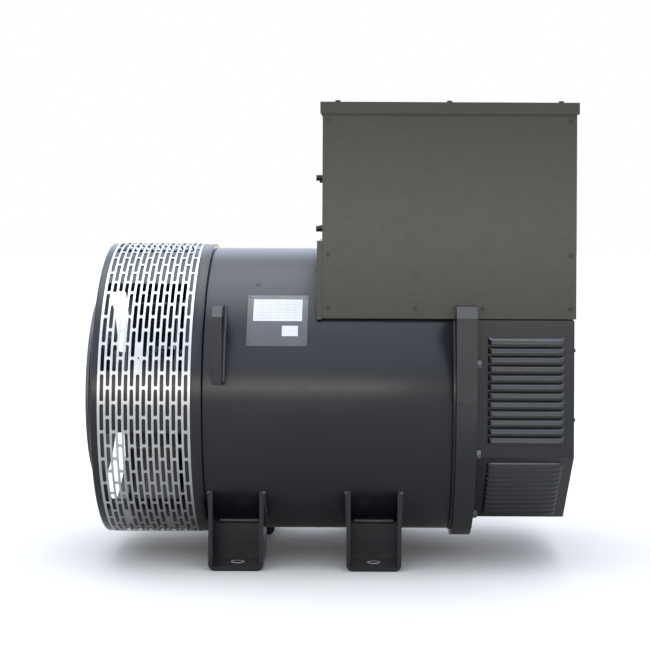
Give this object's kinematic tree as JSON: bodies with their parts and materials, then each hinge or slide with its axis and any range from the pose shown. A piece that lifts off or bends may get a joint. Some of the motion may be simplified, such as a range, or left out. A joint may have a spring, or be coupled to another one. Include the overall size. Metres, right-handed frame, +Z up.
{
  "type": "generator alternator head",
  "caption": "Single-bearing generator alternator head with windowed drive bell, slotted guard, round housing on channel feet, louvred rear cover and a large terminal box.",
  "frame": {"origin": "centre of the engine flange's mating face, on the shaft axis", "axes": "+X along the shaft towards the non-drive end, +Z up, -Y towards the side with the nameplate"},
  "size_m": [1.4543, 0.94, 1.3643],
  "materials": {
    "black_paint": "semi-gloss machine enamel",
    "box_paint": "semi-gloss sheet-metal enamel",
    "galvanised_sheet": "bright zinc-coated perforated sheet",
    "bare_steel": "machined",
    "black_fastener": "painted over",
    "steel_fastener": "oiled",
    "cast_iron": "as cast",
    "fan_aluminium": "as cast",
    "lamination": "varnished laminations",
    "winding": "varnished copper",
    "rectifier": "anodised",
    "tray_zinc": "zinc plated",
    "board_plastic": "moulded insulating board",
    "brass": "turned",
    "regulator_case": "potted case",
    "plug_plastic": "moulded",
    "plate_print": "printed aluminium plate"
  },
  "bodies": {
    "stator_frame": {"drive_end_bell": "black_paint", "housing_shell": "black_paint", "housing_end_ring": "black_paint", "lifting_lug_near": "black_paint", "lifting_lug_far": "black_paint", "foot_front_near": "black_paint", "foot_rear_near": "black_paint", "foot_front_far": "black_paint", "foot_rear_far": "black_paint", "rear_shield": "black_paint", "rear_cover": "black_paint", "rear_cover_panel": "black_paint", "bearing_cap": "black_paint", "terminal_box_saddle": "black_paint", "terminal_box_body": "box_paint", "side_panel_near": "box_paint", "side_panel_far": "box_paint", "terminal_box_lid": "box_paint", "gland_plate": "box_paint", "fan_guard": "galvanised_sheet", "bearing_outer_ring": "bare_steel", "shield_bolts": "black_fastener", "shield_washers": "black_fastener", "side_panel_screws_near": "black_fastener", "side_panel_screws_far": "black_fastener", "lid_bolts": "black_fastener", "gland_plate_bolts": "black_fastener", "rear_panel_bolts": "black_fastener", "bell_bolts": "black_fastener", "stator_core": "lamination", "exciter_stator": "lamination", "stator_winding": "winding", "equipment_tray": "tray_zinc", "terminal_board": "board_plastic", "terminal_studs": "brass", "voltage_regulator": "regulator_case", "box_plug": "plug_plastic", "nameplate": "plate_print"},
    "rotor": {"shaft": "bare_steel", "rotor_core": "lamination", "rotor_windings": "winding", "fan": "fan_aluminium", "coupling_hub": "cast_iron", "coupling_discs": "bare_steel", "coupling_clamp_ring": "bare_steel", "hub_bolts": "steel_fastener", "exciter_rotor": "lamination", "rectifier_plate": "rectifier", "bearing_inner_ring": "bare_steel", "bearing_rollers": "bare_steel"}
  },
  "joints": [
    {"name": "rotor_spin", "type": "hinge", "parent": "stator_frame", "child": "rotor", "pos_m": [0, 0, 0], "axis": [1, 0, 0], "continuous": true}
  ]
}
